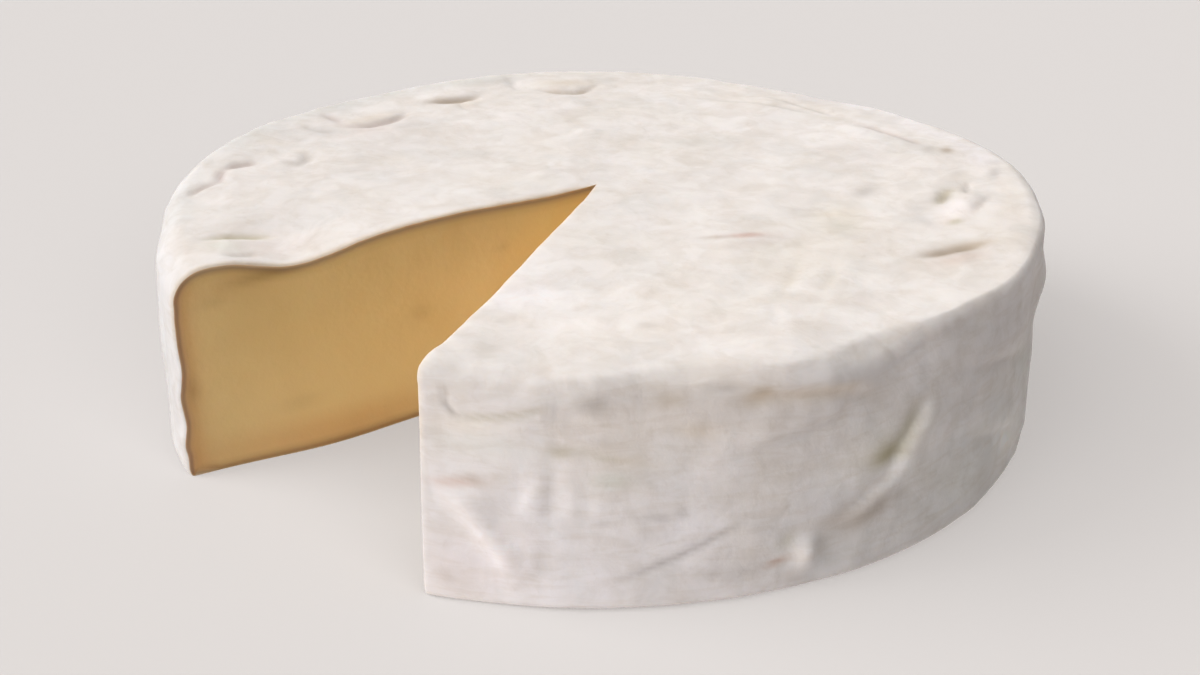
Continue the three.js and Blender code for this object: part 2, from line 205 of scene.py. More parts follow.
# Stains of the top, at places given as angle and radius
TOP_MARKS = [
    mark((331.3, 52.4), (2.4, 1.1), 0.35, BROWN, turn=22),
    mark((336.3, 55.8), (3.2, 1), 0.35, OCHRE, turn=18),
    mark((331.5, 55.8), (4, 1.6), 0.3, RUST, turn=25),
    mark((333.5, 53.6), (5, 1.7), 0.35, BROWN, turn=24),
    mark((354.5, 51.2), (2.2, 1.1), 0.75, GREY, turn=65),
    mark((351, 47.8), (5, 1.8), 0.2, GREY, turn=65),
    mark((3, 54.6), (5.5, 1.2), 0.16, BROWN, turn=76),
    mark((348.5, 52.4), (5, 2), 0.8, (1.14, 1.11, 1.13), turn=58),
    mark((344.3, 52.7), (1.3, 0.9), 0.6, OLIVE, turn=35),
    mark((343.5, 48.8), (3, 1.2), 0.3, GREY, turn=-65),
    mark((358, 40), (2.6, 1.6), 0.75, GREY, turn=60),
    mark((4, 60.4), (2.6, 0.9), 0.6, GREY, turn=75),
    mark((337, 38), (4.5, 2.6), 0.3, OLIVE, turn=80),
    mark((12, 60.5), (8, 2.4), 0.8, COOL, turn=100),
    mark((345.7, 59.5), (6, 3), 0.12, GREY, turn=70),
    mark((343.5, 35), (3, 2), 0.5, WARM),
    mark((345, 32), (2.6, 1), 0.12, BROWN),
    mark((316.2, 28.8), (2.6, 0.9), 0.85, (0.76, 0.56, 0.50), turn=14),
    mark((317, 31.4), (4.6, 1.4), 0.25, MAUVE, turn=30),
    mark((308, 26.6), (2.4, 0.7), 0.5, BROWN, turn=8),
    mark((15.8, 57.6), (1.8, 1), 0.75, BROWN, turn=78),
    mark((17.5, 55.4), (2.6, 1.2), 0.35, GREY, turn=70),
    mark((25, 61.8), (13, 2.6), 0.7, COOL, turn=115),
    mark((52, 62), (17, 2.6), 0.8, COOL, turn=142),
    mark((8.5, 62), (1.4, 1.2), 0.3, GREY),
    mark((42, 53), (3, 1), 0.2, OLIVE, turn=-20),
    mark((277.5, 49.6), (1.3, 0.9), 0.4, GREY),
    mark((205, 56), (2.6, 2.2), 0.5, GREEN),
    mark((194, 59.5), (1.2, 3), 0.3, BLUE_GREY, turn=10),
    mark((205.5, 48.5), (5, 3), 0.35, ROSE, turn=30),
    mark((205, 53), (7, 5), 0.7, PALE, turn=30),
    mark((256, 40), (5, 6), 0.9, (1.16, 1.16, 1.2)),
    mark((268, 50), (12, 4), 0.5, PALE),
    mark((169, 49), (1.2, 2), 0.35, GREY, turn=20),
    mark((118, 49), (3.4, 2), 0.5, WARM, turn=25),
    mark((122, 52), (4.5, 1.6), 0.4, BROWN, turn=20),
    mark((150, 51.5), (1.4, 1.4), 0.4, GREY),
    mark((145, 46), (5, 3.5), 0.5, ROSE, turn=40),
    mark((96, 54), (5, 2), 0.3, OCHRE),
    mark((139, 51), (5, 2), 0.25, OCHRE, turn=45),
    # A darker, bluer grey band along the back of the rim
    mark((115, 60), (14, 3.2), 0.6, BLUE_GREY, turn=25),
    mark((138, 61), (12, 3.6), 0.7, BLUE_GREY, turn=48),
    mark((160, 61.5), (12, 3.6), 0.7, BLUE_GREY, turn=70),
    mark((184, 62), (12, 3.2), 0.7, BLUE_GREY, turn=94),
    mark((145, 45), (26, 16), 0.12, GREY, turn=50),
    mark((285, 45), (24, 12), 0.3, PALE),
    mark((284, 62.4), (8, 1.8), 0.16, GREY, turn=14),
    mark((349, 60.5), (7, 2.4), 0.15, OCHRE, turn=80),
    mark((18, 42), (9, 8), 0.14, GREY),
    mark((325, 38), (24, 15), 0.5, (1.01, 1.0, 0.965), turn=55),
    mark((225, 30), (12, 8), 0.3, PALE, turn=30),
]

# Stains of the side, with a patch of painted light, at places given as angle and height
SIDE_MARKS = [
    mark((256, 16.8), (3.2, 0.6), 0.5, RUST, turn=6),
    mark((257.8, 17.6), (1.4, 0.6), 0.4, BROWN),
    mark((254, 14), (6, 16), 0.1, GREY),
    mark((267.4, 19), (1, 9), 0.6, PALE),
    mark((260.4, 14.8), (2.6, 2), 0.3, GREY),
    mark((263.2, 16), (0.9, 3), 0.5, PALE, turn=-12),
    mark((268.6, 21.7), (3, 0.8), 0.22, OLIVE),
    mark((281, 21), (5, 4), 0.5, PALE),
    mark((292, 23), (4, 3), 0.2, GREY),
    mark((298, 18), (4, 4), 0.6, PALE),
    mark((345, 14), (8, 7), 0.2, GREY),
    mark((281, 3), (6, 3), 0.12, GREY),
    mark((208, 15), (9, 22), 0.08, GREY),
    # Painted light: a lighter patch low on the right of the side, where light from behind on the right falls
    mark((331, 6.8), (5.5, 3.4), 1.0, (1.19, 1.21, 1.2), turn=-15),
    mark((257.5, 24.2), (5, 1), 0.5, WARM),
    mark((254.8, 3.8), (1.2, 1.6), 0.25, BROWN, turn=20),
    mark((257, 5), (6, 5), 0.5, ROSE),
    mark((259, 22), (6, 1.6), 0.25, GREEN),
    mark((269.9, 27.4), (1.7, 1.3), 0.7, GREY),
    mark((279, 27.5), (8, 1.4), 0.3, GREY),
    mark((285.5, 28.2), (6.5, 2), 0.28, GREY),
    mark((289, 24.5), (4, 1.6), 0.3, GREY),
    mark((261, 9.2), (3, 2.4), 1.0, PALE, turn=-40),
    mark((32, 20), (12, 6), 0.35, OCHRE, turn=6),
    mark((74, 10), (14, 5), 0.15, GREY, turn=-8),
    mark((108, 19), (7, 4), 0.4, PALE),
    mark((132, 24), (10, 3), 0.3, OCHRE, turn=5),
    mark((150, 16), (6, 6), 0.4, ROSE),
    mark((95, 24.6), (2.2, 0.8), 0.5, BROWN, turn=10),
    mark((61, 6), (1.6, 1), 0.45, OLIVE, turn=30),
    mark((175, 12), (2, 0.8), 0.4, RUST, turn=15),
    mark((268.8, 25.6), (1.4, 0.7), 0.4, PALE),
    mark((268.6, 22.6), (2.4, 0.6), 0.4, PALE),
    mark((267.3, 25.3), (0.8, 1.6), 0.25, GREY),
    mark((266.8, 21.5), (1.3, 0.8), 0.4, OLIVE),
    mark((270.8, 22.8), (1.4, 0.7), 0.35, GREY),
    mark((271.5, 20.7), (1.8, 0.5), 0.35, OLIVE, turn=-8),
    mark((276, 26), (18, 4), 0.16, OCHRE),
    mark((278, 27.3), (2, 1), 0.35, OCHRE),
    mark((280.5, 23.4), (3, 1), 0.3, OCHRE, turn=-8),
    mark((274.5, 20.2), (3, 0.8), 0.25, OCHRE, turn=-12),
    mark((284, 25.4), (5, 1.6), 0.3, GREY, turn=12),
    mark((266.5, 29.6), (2.4, 0.7), 0.4, GREY, turn=-4),
    mark((270, 8), (18, 9), 0.7, COOL),
    mark((305, 10), (14, 9), 0.5, COOL),
    mark((287.3, 27.4), (2, 1), 0.45, OCHRE, turn=20),
    mark((287.6, 27.8), (0.9, 0.4), 0.35, BROWN),
    mark((284, 28.2), (1.2, 0.4), 0.35, GREY),
    mark((294, 26.6), (7, 1), 0.22, OCHRE, turn=-3),
    mark((291, 19), (8, 3), 0.25, GREY),
    mark((318, 8), (22, 10), 0.9, (0.99, 1.03, 1.01)),
    mark((300, 17), (9, 5), 0.8, (1.02, 1.03, 0.99)),
    mark((297, 4.5), (8, 3), 0.6, (0.95, 0.97, 0.965)),
    mark((303.4, 15.8), (2.8, 1.4), 0.9, OLIVE, turn=15),
    mark((306.2, 18.8), (2.8, 1.3), 0.5, OLIVE, turn=50),
    mark((302.4, 17.4), (2, 1.3), 0.3, OLIVE, turn=40),
    mark((302, 11.6), (3.4, 0.9), 0.6, PALE, turn=35),
    mark((306.4, 15.4), (3, 0.9), 0.2, PALE, turn=62),
    mark((301.5, 8.6), (4, 1.6), 0.4, BROWN, turn=20),
    mark((293, 5.3), (0.9, 1.4), 0.8, PALE),
    mark((291, 7.4), (1.6, 1.1), 0.4, OLIVE, turn=40),
    mark((289.8, 4.7), (1.5, 0.5), 0.9, (0.78, 0.62, 0.54), turn=12),
    mark((297.5, 9), (3, 1.6), 0.45, BROWN, turn=20),
    mark((286.5, 4.2), (3, 1.2), 0.3, GREY),
    mark((272, 18), (2.4, 1.2), 0.5, GREEN),
    mark((271, 12.5), (1.4, 0.6), 0.3, GREY),
    mark((276, 13), (2.6, 0.5), 0.3, GREY, turn=-5),
    mark((279.3, 13.2), (0.9, 0.8), 0.45, GREY),
    mark((277.2, 12.6), (0.8, 0.6), 0.4, GREY),
    mark((282.8, 4.2), (1.2, 0.7), 0.3, GREY),
    mark((270, 20), (2, 4), 0.4, PALE),
    mark((313.5, 15), (5, 1.8), 0.7, PALE, turn=-10),
    mark((328, 7.5), (6, 1.4), 0.7, PALE, turn=-22),
    mark((325, 25.5), (14, 3), 0.2, GREY, turn=-8),
    mark((335, 15), (6, 2.4), 0.35, GREEN, turn=-30),
    mark((329, 12), (7, 1.6), 0.15, GREY, turn=-40),
    mark((339, 22), (5, 4), 0.2, GREY),
    mark((200, 15), (18, 22), 0.9, BLUE_GREY),
]

# Smudges on the two cuts, with painted contact shadow along the foot, painted shadow under the rind and
# painted light near the apex, at places given as distance from the apex and height
LEFT_CUT_MARKS = [
    # Partly painted shadow: the paste's brown under the rind's edge is darkened further as shadow beneath
    # the rind
    mark((53, 27.3), (5, 0.8), 0.5, BROWN, turn=-2),
    mark((58, 27), (6, 2), 0.15, RUST),
    mark((60, 25), (2, 0.8), 0.2, BROWN),
    mark((46, 2.4), (20, 2.6), 0.5, RUST),
    # Painted shadow: a thin dark line along the foot, as contact shadow
    mark((34, 0.3), (38, 0.8), 0.65, BROWN),
    mark((62.5, 6), (3.5, 7), 0.1, BROWN),
    # Painted light: the left cut's paste is lighter towards the apex, where its light falls off in the notch
    mark((18, 21), (16, 11), 0.9, (1.07, 1.11, 1.3)),
    mark((8, 27), (7, 4), 0.6, (1.15, 1.2, 1.2)),
    mark((49, 7.3), (3, 1), 0.2, BROWN),
    mark((30, 16.7), (1.4, 1.2), 0.25, BROWN),
    mark((16.5, 24), (1.2, 0.9), 0.25, BROWN),
    mark((64, 13), (0.9, 2.2), 0.4, BROWN),
]
RIGHT_CUT_MARKS = [
    mark((47, 21), (3.5, 1), 0.25, BROWN, turn=8),
    mark((31, 8), (2.4, 1.1), 0.2, BROWN),
    mark((58, 9), (1.6, 2.4), 0.25, BROWN),
    mark((20, 18), (1.4, 1), 0.2, BROWN),
]

# Round swellings of the side: angle, height, reach along and up the side, and how far they stand out
SIDE_BUMPS = [
    (293.4, 5.2, 1.7, 2.1, 1.2), (352, 22.9, 13, 2.5, 1.1), (352, 17.4, 12, 1.8, -0.15),
    (212, 16.5, 5, 2.8, -0.5), (212, 12.2, 4, 1.2, 0.2), (212, 8.2, 4, 1.8, -0.25), (212, 4.8, 4, 1.4, 0.3),
]

# Rumples of the rind all over: size, height on the middle of the top, and height on the rim and the side
RUMPLES = [(15, 0.15, 0.2), (6, 0.09, 0.13), (2.4, 0.05, 0.055)]
CALM_RADIUS = 35  # out to here the top is as smooth as its middle
CALM_FADE = 20  # how much further out it is as rumpled as the side

# How finely the skin is divided. A ring nearer the middle has half the columns of the one outside it.
COLUMNS = 584
EDGE_COLUMNS = (0.12, 0.28, 0.5, 0.8)  # degrees of the extra columns beside each cut
HALVING_RADII = (30, 15, 7.5)
TOP_ROWS = 92
RIM_ROWS = 12
SIDE_ROWS = 46
FOOT_ROWS = 7
BASE_RADIUS = 61.5
BASE_STEP = 1.2
AXIS_STEP = 1.2

# The paste on the two cuts
CUT_ROUNDING = (0.9, 0.4)  # how far the rind's edge is rounded over: along the rind, and down
EDGE_DEPTHS = (0.25, 0.5, 0.8, 1.2, 1.7, 2.4, 3.3, 4.4)
PASTE_GRID = 1.1
PASTE_SWELL = 0.35
SWELL_REACH = (2.5, 7)  # from the rind and from the apex, where the swell comes in
RIPPLE = (7, 0.1)  # size and height of the paste's unevenness
GROOVE = (0.12, 0.45, 0.25)  # depth of the groove beside the rind, its place and its half width
OUTER_STAIN = 0.5  # how much redder the paste is beside the side's rind
OUTER_PLACE = (1.2, 1.9)  # how far in from the rind that is strongest, and its half width
BASE_DEPTH = 0.4  # the paste darkens at once above the base, where no pale rind shows: partly the rind's brown edge and partly painted contact shadow

# The camera, from the photograph
CAMERA_PLACE = (0.205, -217.96, 108.54)
CAMERA_PITCH = 25.345
CAMERA_ROLL = 0.597
CAMERA_FOCUS = 1539.3 / 1200  # focal length over the picture's width
SENSOR_WIDTH = 36.0

# Soft lights: name, azimuth, elevation, strength and how wide they look from the wheel
WHEEL_SUNS = [
    ("key", 219, 30, 2.2, 36),
    ("top", 100, 52, 2.25, 100),
]
FLOOR_SUNS = [
    ("floor left", 180, 30, 4.9, 40),
    ("floor key", 215, 55, 3.03, 40),
    ("floor right", 300, 35, 3.1, 40),
]
# An even light on the floor that nothing shades, as on a studio sweep
SWEEP_SUNS = [("sweep", 0, 90, 8.9, 40)]
WORLD_LIGHT = 0.03


def cosine(angle):
    return np.cos(np.radians(angle))


def sine(angle):
    return np.sin(np.radians(angle))


def round_waves(waves, angle):
    return sum(height * cosine(lobes * (angle - peak)) for lobes, height, peak in waves)


def forward(angle):
    """The same angle on the way round from the right cut to the left one."""
    middle = (LEFT_CUT + RIGHT_CUT) / 2
    return (angle - middle) % 360 + middle - 360


def outline_radius(angle):
    """Distance from the apex of the cuts to the outline, in the direction of an angle."""
    dent = OUTLINE_DENT[2] * np.exp(-((forward(angle) - OUTLINE_DENT[0]) / OUTLINE_DENT[1]) ** 2)
    return WHEEL_RADIUS - APEX_Y * sine(angle) + round_waves(OUTLINE_WAVES, angle) - dent


def rim_shape(angle):
    """Radius of the rim's rounding, width and steepness of its bevel, and how far the side leans in."""
    angles, *columns = zip(*RIM_SHAPES)
    return [np.interp(forward(angle), angles, column) for column in columns]


def swell(u, v):
    height = 0
    for wavelength, heading, crest, start in SWELLS:
        along = u * cosine(heading) + v * sine(heading)
        height = height + crest * np.sin(2 * np.pi * (along + start) / wavelength)
    return height


def rim_drop(r, angle):
    """How far the bevel lowers the rind at a distance from the apex of the cuts."""
    _, width, steepness, lean = rim_shape(angle)
    past = r - outline_radius(angle) + lean + width
    fall = steepness * (past + np.hypot(past, BEVEL_SOFTNESS)) / 2
    return fall * np.clip(width / BEVEL_SOFTNESS, 0, 1)


def fold_frame(one, place, u, v):
    """How far a spot is across a fold, and how much of the fold is left there."""
    start = place(one["start"])
    end = place(one["end"])
    length = math.dist(start, end)
    heading = ((end[0] - start[0]) / length, (end[1] - start[1]) / length)
    along = (u - start[0]) * heading[0] + (v - start[1]) * heading[1]
    left = (v - start[1]) * heading[0] - (u - start[0]) * heading[1]
    reach = 2 * along / length - 1
    across = left - one["bow"] * (1 - reach ** 2)
    return across, np.exp(-2 * reach ** 4)


def folds_height(folds, place, u, v):
    height = 0
    for one in folds:
        across, fade = fold_frame(one, place, u, v)
        crease = one["sink"] * np.exp(-(across / one["crease"]) ** 2)
        share = np.maximum(across / one["width"], 0)
        lobe = one["rise"] * share * np.exp(1 - share)
        height = height + fade * (lobe - crease)
    return height


def plan_point(place):
    angle, radius = place
    return radius * cosine(angle), radius * sine(angle)


def side_point(place):
    """The side laid out flat: distance round the wheel, and height."""
    angle, height = place
    return math.radians(forward(angle)) * WHEEL_RADIUS, height


def hollow_depth(x, y):
    middle_x, middle_y = plan_point((HOLLOW["angle"], 1))
    outwards = x * middle_x + y * middle_y - HOLLOW["radius"]
    sideways = y * middle_x - x * middle_y
    reach = np.where(outwards > 0, HOLLOW["outwards"], HOLLOW["inwards"])
    fall = (outwards / reach) ** 2 + (sideways / HOLLOW["sideways"]) ** 2
    return HOLLOW["depth"] * np.exp(-fall / 2)


def top_relief(x, y):
    height = swell(x, y) - hollow_depth(x, y) + folds_height(TOP_FOLDS, plan_point, x, y)
    for angle, radius, reach, rise in TOP_BUMPS:
        bump_x, bump_y = plan_point((angle, radius))
        height = height + rise * np.exp(-((x - bump_x) ** 2 + (y - bump_y) ** 2) / reach ** 2)
    return height


def side_relief(angle, z):
    u = np.radians(angle) * WHEEL_RADIUS
    height = swell(u, z) + folds_height(SIDE_FOLDS, side_point, u, z)
    for bump_angle, bump_height, reach_u, reach_v, rise in SIDE_BUMPS:
        bump_u, bump_v = side_point((bump_angle, bump_height))
        height = height + rise * np.exp(-((u - bump_u) / reach_u) ** 2 - ((z - bump_v) / reach_v) ** 2)
    return height


def stained_and_shaded(tint, share, colour):
    """A tint after a mark that covers a share of each spot, whether the rind's own colour or painted
    shade or light.
    """
    return tint * (1 - share[:, None] * (1 - np.array(colour)))


def tint_at(folds, marks, place, u, v):
    """What the creases, partly darkened as painted shade, and the marks multiply the colour by."""
    tint = np.ones((len(u), 3))
    # A crease takes its tint, which also darkens it as painted shade
    for one in folds:
        across, fade = fold_frame(one, place, u, v)
        tint = stained_and_shaded(tint, one["stain_and_shade"] * fade * np.exp(-(across / one["crease"]) ** 2), one["tint"])
    for one in marks:
        middle_u, middle_v = place(one["place"])
        along = (u - middle_u) * cosine(one["turn"]) + (v - middle_v) * sine(one["turn"])
        sideways = (v - middle_v) * cosine(one["turn"]) - (u - middle_u) * sine(one["turn"])
        fall = (along / one["reach"][0]) ** 2 + (sideways / one["reach"][1]) ** 2
        tint = stained_and_shaded(tint, one["stain_and_shade"] * np.exp(-fall), one["tint"])
    return tint


def cut_point(place):
    return place


def profile_rows():
    """The rows of the skin, from the middle of the top to the middle of the base."""
    rows = [("top", (i / TOP_ROWS) ** 0.85) for i in range(1, TOP_ROWS + 1)]
    rows += [("rim", i / RIM_ROWS) for i in range(1, RIM_ROWS + 1)]
    rows += [("side", i / SIDE_ROWS) for i in range(1, SIDE_ROWS + 1)]
    rows += [("foot", i / FOOT_ROWS) for i in range(1, FOOT_ROWS + 1)]
    rows += [("base", radius) for radius in np.arange(BASE_RADIUS, 1, -BASE_STEP)]
    return rows


def profile_row(kind, share, angle):
    """Radius and height of one row before relief, and how far it faces up (lift) and out (push)."""
    radius = outline_radius(angle)
    rim, _, _, lean = rim_shape(angle)
    rim_radius = radius - lean
    rim_lift = round_waves(RIM_HEIGHT_WAVES, angle)
    rim_top = WHEEL_HEIGHT + rim_lift - rim_drop(rim_radius, angle)
    flat = np.zeros_like(angle)
    if kind == "top":
        r = share * (rim_radius - rim)
        return r, WHEEL_HEIGHT + share ** 3 * rim_lift - rim_drop(r, angle), flat + 1, flat
    if kind == "rim":
        push = sine(90 * share)
        lift = cosine(90 * share)
        r = rim_radius - rim + rim * push
        z = WHEEL_HEIGHT + rim_lift - rim_drop(r, angle) - rim * (1 - lift)
        return r, z, flat + lift, flat + push
    if kind == "side":
        z = rim_top - rim + share * (FOOT_ROUNDING - rim_top + rim)
        leaning = lean * max(1 - share / LEAN_SHARE, 0) ** 1.5
        return radius + share * FOOT_SPREAD - leaning, z, flat, flat + 1
    if kind == "foot":
        push = cosine(90 * share)
        r = radius + FOOT_SPREAD - FOOT_ROUNDING * (1 - push)
        return r, flat + FOOT_ROUNDING * (1 - sine(90 * share)), flat, flat + push
    return flat + share, flat, flat, flat


def row_columns(kind, share):
    """How many even columns a row has: half as many with each limit that it is inside of."""
    if kind == "top":
        return COLUMNS // 2 ** sum(share * WHEEL_RADIUS < limit for limit in HALVING_RADII)
    if kind == "base":
        return COLUMNS // 2 ** sum(share < BASE_RADIUS - step * BASE_STEP + 0.1 for step in range(3))
    return COLUMNS


def fine_noise(points, size, octaves):
    """Smooth noise in about -1 to 1 at places in millimetres, with lumps of about that size."""
    return np.array([noise.fractal(Vector(p) / size, 0.9, 2.1, octaves) for p in points])


def rumple(points, radius):
    """Height of the rind's small unevenness, which grows towards the rim."""
    outer = np.clip((radius - CALM_RADIUS) / CALM_FADE, 0, 1)
    height = 0
    for size, middle_height, rim_height in RUMPLES:
        share = middle_height + outer * (rim_height - middle_height)
        height = height + share * fine_noise(points + 3 * size, size, 2)
    return height


class Skin:
    """The vertices and faces of the wheel, in millimetres about its axis, with the paste's depth and the
    rind's tint at every vertex."""

    def __init__(self):
        self.points = []
        self.depths = []
        self.tints = []
        self.faces = []
        self.materials = []

    def add(self, points, depths=None, tints=None):
        first = len(self.points)
        self.points.extend(tuple(p) for p in points)
        self.depths.extend(np.zeros(len(points)) if depths is None else depths)
        self.tints.extend(np.ones((len(points), 3)) if tints is None else tints)
        return list(range(first, len(self.points)))

    def face(self, corners, material):
        self.faces.append(corners)
        self.materials.append(material)


def ring_angles(kind, share):
    """The angles of a ring's vertices, from the right cut round to the left one, closer beside the cuts."""
    columns = row_columns(kind, share)
    start = RIGHT_CUT - 360
    extra = np.array((0,) + EDGE_COLUMNS)
    first = start + extra[-1]
    last = LEFT_CUT - extra[-1]
    even = first + (last - first) * np.arange(1, columns) / columns
    return np.concatenate([start + extra, even, LEFT_CUT - extra[::-1]])


def cut_distance(r, angle):
    """How far a place on the rind is from the nearer cut."""
    nearest = np.minimum(angle - RIGHT_CUT + 360, LEFT_CUT - angle)
    return r * sine(np.minimum(nearest, 90))


def edge_drop(r, angle):
    """How far the rind's edge is rounded down at a cut."""
    share = np.clip(1 - cut_distance(r, angle) / CUT_ROUNDING[0], 0, 1)
    return CUT_ROUNDING[1] * (1 - np.sqrt(1 - share ** 2)) * np.clip(r / 6, 0, 1)


def add_ring(skin, kind, share):
    angle = ring_angles(kind, share)
    r, z, lift, push = profile_row(kind, share, angle)
    x = r * cosine(angle)
    y = APEX_Y + r * sine(angle)
    up = lift * top_relief(x, y)
    out = push * side_relief(angle, z)
    relief = up + out + rumple(np.column_stack([x, y, z]), r) - edge_drop(r, angle)
    r = r + push * relief
    z = z + lift * relief
    points = np.column_stack([r * cosine(angle), APEX_Y + r * sine(angle), z])
    u = np.radians(angle) * WHEEL_RADIUS
    top_tint = 1 - lift[:, None] * (1 - tint_at(TOP_FOLDS, TOP_MARKS, plan_point, x, y))
    # the side also takes its painted shade
    side_tint = tint_at(SIDE_FOLDS, SIDE_MARKS, side_point, u, z) * np.array(SIDE_PAINTED_SHADE)
    side_tint = 1 - push[:, None] * (1 - side_tint)
    cream = np.exp(-(cut_distance(r, angle) / CUT_CREAM) ** 2)
    cream = cream * np.clip((z - CREAM_HEIGHT) / CREAM_FADE, 0, 1)
    tint = stained_and_shaded(top_tint * side_tint, cream, CREAM)
    depths = np.full(len(angle), BASE_DEPTH if kind == "base" else 0.0)
    return skin.add(points, depths, tint)


def bridge(skin, inner, outer):
    """Faces between two rings, the second with as many even columns as the first, twice or half as many."""
    edge = len(EDGE_COLUMNS)
    if len(inner) == len(outer):
        for i in range(len(inner) - 1):
            skin.face((inner[i], outer[i], outer[i + 1], inner[i + 1]), 0)
        return
    for i in range(edge):
        skin.face((inner[i], outer[i], outer[i + 1], inner[i + 1]), 0)
        skin.face((inner[-2 - i], outer[-2 - i], outer[-1 - i], inner[-1 - i]), 0)
    inner = inner[edge:-edge]
    outer = outer[edge:-edge]
    if len(outer) > len(inner):
        for i in range(len(inner) - 1):
            skin.face((inner[i], outer[2 * i], outer[2 * i + 1]), 0)
            skin.face((inner[i], outer[2 * i + 1], inner[i + 1]), 0)
            skin.face((inner[i + 1], outer[2 * i + 1], outer[2 * i + 2]), 0)
    else:
        for i in range(len(outer) - 1):
            skin.face((inner[2 * i], outer[i], inner[2 * i + 1]), 0)
            skin.face((outer[i], outer[i + 1], inner[2 * i + 1]), 0)
            skin.face((inner[2 * i + 1], outer[i + 1], inner[2 * i + 2]), 0)


def add_rind(skin):
    """The rind all over the wheel but for the cuts. Gives back its rings and the apex's upright line."""
    top_height = WHEEL_HEIGHT + float(top_relief(0.0, APEX_Y))
    steps = round(top_height / AXIS_STEP)
    axis = skin.add([(0, APEX_Y, top_height * i / steps) for i in range(steps + 1)])
    rings = [add_ring(skin, kind, share) for kind, share in profile_rows()]
    for inner, outer in zip(rings, rings[1:]):
        bridge(skin, inner, outer)
    for left, right in zip(rings[0], rings[0][1:]):
        skin.face((axis[-1], left, right), 0)
    for left, right in zip(rings[-1], rings[-1][1:]):
        skin.face((left, axis[0], right), 0)
    return rings, axis


def edge_distance(points, line):
    """Distance of each point to a polyline, in the plane of a cut."""
    nearest = np.full(len(points), np.inf)
    for a, b in zip(line, line[1:]):
        along = b - a
        share = np.clip((points - a) @ along / (along @ along), 0, 1)
        away = points - a - share[:, None] * along
        nearest = np.minimum(nearest, np.hypot(away[:, 0], away[:, 1]))
    return nearest


def inside(points, outline):
    """Which points lie inside a closed outline."""
    crossings = np.zeros(len(points), dtype=int)
    for a, b in zip(outline, np.roll(outline, -1, axis=0)):
        spans = (a[1] > points[:, 1]) != (b[1] > points[:, 1])
        if spans.any():
            cross = a[0] + (points[:, 1] - a[1]) * (b[0] - a[0]) / (b[1] - a[1])
            crossings += spans & (points[:, 0] < cross)
    return crossings % 2 == 1


def paste_points(edge, outline):
    """Places inside a cut: rows that follow the rind, and an even grid further in."""
    along = np.gradient(edge, axis=0)
    along = along / np.linalg.norm(along, axis=1)[:, None]
    inwards = np.column_stack([along[:, 1], -along[:, 0]])
    rows = []
    for depth in EDGE_DEPTHS:
        row = edge[1:-1] + depth * inwards[1:-1]
        rows.append(row[edge_distance(row, edge) > 0.97 * depth])
    r, z = np.meshgrid(np.arange(1, 66, PASTE_GRID), np.arange(1, 32, PASTE_GRID * 0.87))
    r[1::2] += PASTE_GRID / 2
    grid = np.column_stack([r.ravel(), z.ravel()])
    grid = grid[edge_distance(grid, edge) > EDGE_DEPTHS[-1] + PASTE_GRID / 2]
    points = np.vstack(rows + [grid])
    points = points[points[:, 0] > 0.6]
    return points[inside(points, outline)]


def add_cut(skin, rings, axis, angle, marks, last):
    """One upright cut face, from the apex out to the rind."""
    side = -1 if last else 0
    border = [ring[side] for ring in rings]
    direction = np.array([cosine(angle), sine(angle), 0.0])
    turn = 1 if last else -1
    normal = turn * np.array([-direction[1], direction[0], 0.0])
    apex = np.array([0, APEX_Y, 0.0])

    def flat(index):
        offset = np.array(skin.points[index]) - apex
        return offset @ direction, offset[2]

    edge = np.array([flat(i) for i in [axis[-1]] + border + [axis[0]]])
    outline_ids = border + axis
    outline = np.array([flat(i) for i in outline_ids])
    within = paste_points(edge, outline)
    depth = edge_distance(within, edge)
    # Along the base the paste starts at its darkest band, partly as painted contact shadow
    shade_depth = np.minimum(edge_distance(within, edge[edge[:, 1] > FOOT_ROUNDING / 2]),
                             BASE_DEPTH + within[:, 1])
    places = apex + within[:, :1] * direction + within[:, 1:] * np.array([0, 0, 1.0])
    swell_in = (1 - np.exp(-depth / SWELL_REACH[0])) * (1 - np.exp(-(within[:, 0] / SWELL_REACH[1]) ** 2))
    bulge = PASTE_SWELL * swell_in
    ripple = RIPPLE[1] * fine_noise(places, RIPPLE[0], 3)
    ripple = ripple * np.minimum(depth / 2, 1) * np.minimum(within[:, 0] / 3, 1)
    groove = GROOVE[0] * np.exp(-((depth - GROOVE[1]) / GROOVE[2]) ** 2)
    places = places + (bulge + ripple - groove)[:, None] * normal
    tint = tint_at([], marks, cut_point, within[:, 0], within[:, 1])
    outer = np.exp(-((np.max(edge[:, 0]) - within[:, 0] - OUTER_PLACE[0]) / OUTER_PLACE[1]) ** 2)
    tint = stained_and_shaded(tint, OUTER_STAIN * outer, RUST)
    ids = outline_ids + skin.add(places, depths=shade_depth, tints=tint)
    flats = [Vector(p) for p in np.vstack([outline, within])]
    ring_order = list(range(len(outline_ids)))[::-1]
    made, _, triangles, sources, _, _ = delaunay_2d_cdt(flats, [], [ring_order], 1, 1e-5)
    for triangle in triangles:
        a, b, c = (ids[sources[i][0]] for i in triangle)
        skin.face((a, c, b) if last else (a, b, c), 1)


